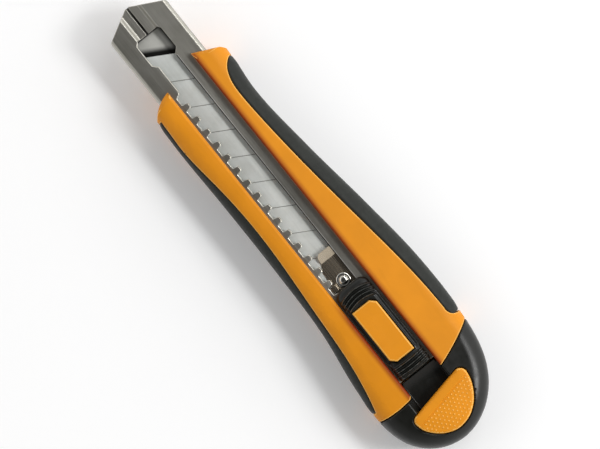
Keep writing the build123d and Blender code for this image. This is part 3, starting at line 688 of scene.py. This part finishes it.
def add_dome(bm, at, radius, height):
    """Small closed dome sunk a little into the surface below it, with a painted highlight on its top."""
    profile = [(1.0, -0.75), (1.0, 0.0), (0.9, 0.35), (0.7, 0.7), (0.4, 0.925), (0.15, 1.0)]
    count = 12
    rings = []
    for reach, up in profile:
        ring = []
        for i in range(count):
            angle = 2 * math.pi * i / count
            ring.append(bm.verts.new((
                (at[0] + radius * reach * math.cos(angle)) * MM,
                (at[1] + radius * reach * math.sin(angle)) * MM,
                (at[2] + up * height) * MM,
            )))
        rings.append(ring)
    for lower, upper in zip(rings, rings[1:]):
        for i in range(count):
            j = (i + 1) % count
            side = bm.faces.new((lower[i], lower[j], upper[j], upper[i]))
            side.material_index = int(upper in rings[-2:])
    bm.faces.new(rings[-1]).material_index = 1
    bm.faces.new(list(reversed(rings[0])))


# ------------------------------------------------------------------ thumb slider

PAD_X = (-59.0, -25.0)
PAD_Y = (-5.6, 6.1)
PAD_UNDER = 16.6
FRONT_RIBS = (-27.2, -28.6, -29.8, -31.0)
REAR_RIBS = (-54.7, -56.1, -57.4, -58.6)
RIB_HEIGHT = 0.95
RIB_HALF = 0.3
PLATE_X = (-52.9, -32.7)
PLATE_Y = (-3.5, 4.9)
PLATE_CUT = 1.7
PLATE_SEAT = 18.4


def plate_outline(gap):
    """Plan of the plate, with two opposite corners cut off."""
    (x0, x1), (y0, y1), cut = PLATE_X, PLATE_Y, PLATE_CUT
    x0, x1, y0, y1 = x0 - gap, x1 + gap, y0 - gap, y1 + gap
    return [(x0, y0), (x1 - cut, y0), (x1, y0 + cut), (x1, y1), (x0 + cut, y1), (x0, y1 - cut)]


def rounded_corners(x, y, radii):
    """Rectangle with rounded corners, anticlockwise from the lowest one, as points."""
    centres = [(x[0], y[0], 1, 1), (x[1], y[0], -1, 1), (x[1], y[1], -1, -1), (x[0], y[1], 1, -1)]
    found = []
    for (cx, cy, sx, sy), radius, start in zip(centres, radii, (180, 270, 0, 90)):
        for i in range(7):
            turn = math.radians(start + 15 * i)
            found.append((cx + radius * (sx + math.cos(turn)), cy + radius * (sy + math.sin(turn))))
    return found


def rib_gap(x, y, rib):
    """Distance along the knife from the bowed middle line of a rib."""
    offset = (2 * y - sum(PAD_Y)) / (PAD_Y[1] - PAD_Y[0])
    lean = 1.5 if rib > PLATE_X[1] else -0.35
    return abs(x - rib + lean * offset * offset)


def make_slider_pad():
    """Saddle-shaped thumb pad: arched ribs at both ends, low flanges, and a seat for the plate."""
    outline = rounded_corners(PAD_X, PAD_Y, (1.0, 2.6, 2.6, 1.0))
    seat = plate_outline(0.3)
    middle = sum(PAD_Y) / 2
    reach = (PAD_Y[1] - PAD_Y[0]) / 2

    def height(x, y, distance, side):
        from_middle = abs(x - sum(PAD_X) / 2)
        end = smooth_step((from_middle - 10.2) / 1.6)
        z = 19.35 + 0.5 * smooth_step((from_middle - 8.0) / 5.0)
        z -= 0.5 * smooth_step((from_middle - 14.2) / 3.0)
        offset = (y - middle) / reach
        z -= 0.8 * end * offset * offset
        from_rim = smooth_step((distance - 0.25) / 0.9)
        for rib in FRONT_RIBS + REAR_RIBS:
            z += RIB_HEIGHT * from_rim * math.exp(-(rib_gap(x, y, rib) / RIB_HALF) ** 2)
        ledge = 1.15 if y < middle else 0.75
        flange = (1 - end) * (1 - smooth_step((distance - ledge) / 0.35))
        z -= 1.2 * flange
        z -= round_off(distance, 0.9 * end + 0.35)
        if inside_by(seat, x, y, 0.0):
            z = PLATE_SEAT
        return z

    def rows(low, high):
        return spaced(low, high, 50, (0.06, 0.15, 0.3))

    step = 0.14
    columns = [PAD_X[0] + step * i for i in range(int((PAD_X[1] - PAD_X[0]) / step) + 1)] + [PAD_X[1]]
    bm = bmesh.new()
    raised(bm, outline, 0.0, columns, rows, height, PAD_UNDER)
    piece = finish_piece(bm, "slider_pad_ribbed", "black_plastic", "slider", ["slider_pad"], 50)
    # Painted highlight on the rib crests
    piece.data.materials.append(PAINTED_HIGHLIGHTS["black"])
    for face in piece.data.polygons:
        x, y, z = face.center / MM
        gap = min(rib_gap(x, y, rib) for rib in FRONT_RIBS + REAR_RIBS)
        face.material_index = int(gap < 0.17 and face.normal.z > 0.3 and z > PLATE_SEAT)
    return piece


# ------------------------------------------------------------------ blade stud

STUD = (-23.0, 0.4)
STUD_PROFILE = [
    (0.0, 13.1), (1.65, 13.1), (1.8, 13.25), (1.8, 13.95), (1.1, 13.95), (1.1, 14.3), (2.15, 14.3),
    (2.3, 14.38), (2.3, 14.5), (2.2, 14.58), (1.75, 14.6), (1.5, 14.5), (1.45, 14.5), (1.4, 14.62),
    (1.3, 14.8), (1.05, 14.95), (0.6, 15.04), (0.0, 15.06),
]


def make_stud():
    """Turned rivet: collar under the leaf, flat washer head and a low dome."""
    bm = bmesh.new()
    count = 40
    rings = []
    for radius, z in STUD_PROFILE:
        turns = [2 * math.pi * i / count for i in range(count if radius else 1)]
        rings.append([
            bm.verts.new([c * MM for c in (
                STUD[0] + radius * math.cos(turn), STUD[1] + radius * math.sin(turn), z,
            )])
            for turn in turns
        ])
    for lower, upper in zip(rings, rings[1:]):
        for i in range(count):
            j = (i + 1) % count
            corners = [lower[i % len(lower)], lower[j % len(lower)]]
            corners += [upper[j % len(upper)], upper[i % len(upper)]]
            bm.faces.new(list(dict.fromkeys(corners)))
    return finish_piece(bm, "blade_stud_turned", "stud_steel", "slider", ["blade_stud"], 50)


# ------------------------------------------------------------------ carried-over nodes

def dress_node(name, slot, bevel_mm):
    """Material and softened edges on a CAD node that stays."""
    node = frame["nodes"][name]
    for held in node.material_slots:
        held.material = MATERIALS[slot]
    if name in REPLACED:
        return
    weld = node.modifiers.new("joined_faces", "WELD")
    weld.merge_threshold = 2e-6
    merge = node.modifiers.new("flat_faces", "DECIMATE")
    merge.decimate_type = "DISSOLVE"
    merge.angle_limit = math.radians(0.6)
    if bevel_mm:
        bevel = node.modifiers.new("soft_edges", "BEVEL")
        bevel.width = bevel_mm * MM
        bevel.segments = 2
        bevel.limit_method = "ANGLE"
        bevel.angle_limit = math.radians(32)
        bevel.harden_normals = True


TIP_FOLD = -15.0
TIP_LIFT = 0.28


def raise_tip(place):
    """Bends the leaf's tip up a little further."""
    return place + Vector((0, 0, TIP_LIFT * max(0.0, place.x - TIP_FOLD * MM)))


def shell_edge(middle, along):
    """Small roundings all over, finer at the front end, and none low on the flanks there."""
    if middle.x > 50.0 and middle.z < 14.0 and abs(middle.y) > 12.0:
        return 0.0
    return 0.28 if middle.x < 55.0 else 0.12


def channel_edge(middle, along):
    """Sheared edges of the rack roll over; the rest of the channel has finer ones."""
    rack = 3.0 < middle.y < 6.0 and middle.z > 14.5 and abs(along.x) > 0.7
    return 0.38 if rack else 0.22


def leaf_edge(middle, along):
    """Rounded corners at the leaf's tip, fine edges elsewhere."""
    return 0.55 if middle.x > -13.5 and abs(along.z) > 0.7 else 0.08


BEVELS = {
    "blade": 0.05, "blade_carriage": 0.15, "blade_tray": 0.15, "cap_latch": 0.12,
    "carriage_screws": 0.08, "latch_screw": 0.08, "shell_screws": 0.12, "rest_pad": 0.25,
    "tray_spring": 0.05,
}
REPLACED = {
    "front_shell", "back_shell", "end_cap", "blade_channel", "lock_spring", "slider_insert",
    "upper_grip", "lower_grip", "release_button", "slider_pad", "blade_stud",
}
for entry in frame["record"]["subparts"]:
    dress_node(entry["node"], entry["material_slot"], BEVELS.get(entry["node"], 0))
softened("front_shell", shell_edge, rim="orange")
softened("back_shell", shell_edge, rim="orange")
softened("end_cap", lambda middle, along: 0.4)
softened("blade_channel", channel_edge)
softened("lock_spring", leaf_edge, segments=2, angle=18, move=raise_tip)
softened("slider_insert", lambda middle, along: 0.18, angle=20, rim="orange")
make_grip("upper_grip", -1, SPINE_REACH, SPINE_SEAM, 7.2)
make_grip("lower_grip", 1, EDGE_REACH, EDGE_SEAM, 8.9)
make_button()
make_slider_pad()
make_stud()


# ------------------------------------------------------------------ floor, light and camera

def make_floor():
    """Plain pale floor."""
    mesh = bpy.data.meshes.new("floor")
    reach = 3.0
    corners = [(x * reach, y * reach, 0) for x, y in ((-1, -1), (1, -1), (1, 1), (-1, 1))]
    mesh.from_pydata(corners, [], [(0, 1, 2, 3)])
    floor = bpy.data.objects.new("floor", mesh)
    bpy.context.scene.collection.objects.link(floor)
    n = Nodes("floor", Specular_IOR_Level=0.1, Emission_Strength=0.1)
    tone = n.ramp(n.noise(60, detail=2), [(0.0, (0.92, 0.92, 0.92)), (1.0, (0.94, 0.94, 0.94))])
    n.paint(tone, n.spread(n.noise(5), 0.8, 0.9))
    mesh.materials.append(n.material)


def area_light(name, place, size, power):
    """Soft rectangular light aimed at the middle of the knife."""
    light = bpy.data.lights.new(name, "AREA")
    light.shape = "RECTANGLE"
    light.size, light.size_y = size
    light.energy = power
    holder = bpy.data.objects.new(name, light)
    holder.location = place
    holder.rotation_euler = (-Vector(place)).to_track_quat("-Z", "Y").to_euler()
    bpy.context.scene.collection.objects.link(holder)


def make_camera():
    """Long lens straight above the knife, rolled so that the nose points up and to the left."""
    camera = bpy.data.cameras.new("camera")
    camera.sensor_width = 36.0
    distance, field = 1.4, 0.1852
    place = (-0.00123, 0.00019, distance + 0.016)
    camera.lens = camera.sensor_width * distance / field
    camera.clip_end = 20
    holder = bpy.data.objects.new("camera", camera)
    right = Vector((-math.cos(ROLL), -math.sin(ROLL), 0))
    up = Vector((math.sin(ROLL), -math.cos(ROLL), 0))
    turn = Matrix((right, up, Vector((0, 0, 1)))).transposed()
    holder.matrix_world = Matrix.Translation(place) @ turn.to_4x4()
    bpy.context.scene.collection.objects.link(holder)
    bpy.context.scene.camera = holder


def make_world():
    """Light tent: bright all round, darker straight above where the lens looks through."""
    world = bpy.data.worlds.new("studio")
    world.use_nodes = True
    tree = world.node_tree
    split = tree.nodes.new("ShaderNodeSeparateXYZ")
    tree.links.new(tree.nodes.new("ShaderNodeTexCoord").outputs["Generated"], split.inputs["Vector"])
    ramp = tree.nodes.new("ShaderNodeValToRGB")
    stops = [(0.0, 1.0), (0.45, 0.95), (0.8, 0.42), (0.93, 0.1), (1.0, 0.03)]
    while len(ramp.color_ramp.elements) < len(stops):
        ramp.color_ramp.elements.new(0.5)
    for element, (place, level) in zip(ramp.color_ramp.elements, stops):
        element.position = place
        element.color = (level, level, level, 1.0)
    tree.links.new(split.outputs["Z"], ramp.inputs["Fac"])
    side = tree.nodes.new("ShaderNodeMapRange")
    for socket, value in (("From Min", -1.0), ("From Max", 1.0), ("To Min", 1.4), ("To Max", 0.5)):
        side.inputs[socket].default_value = value
    tree.links.new(split.outputs["Y"], side.inputs["Value"])
    background = tree.nodes["Background"]
    tree.links.new(side.outputs["Result"], background.inputs["Strength"])
    tree.links.new(ramp.outputs["Color"], background.inputs["Color"])
    bpy.context.scene.world = world


make_floor()
make_world()
area_light("key", (-0.45, -0.65, 0.8), (0.35, 0.35), 4.0)
area_light("fill", (0.5, 0.6, 0.7), (0.8, 0.8), 1.2)
area_light("spine_strip", (0.0, -0.75, 1.15), (1.4, 0.2), 5.0)
make_camera()
bpy.context.scene.view_settings.view_transform = "Standard"
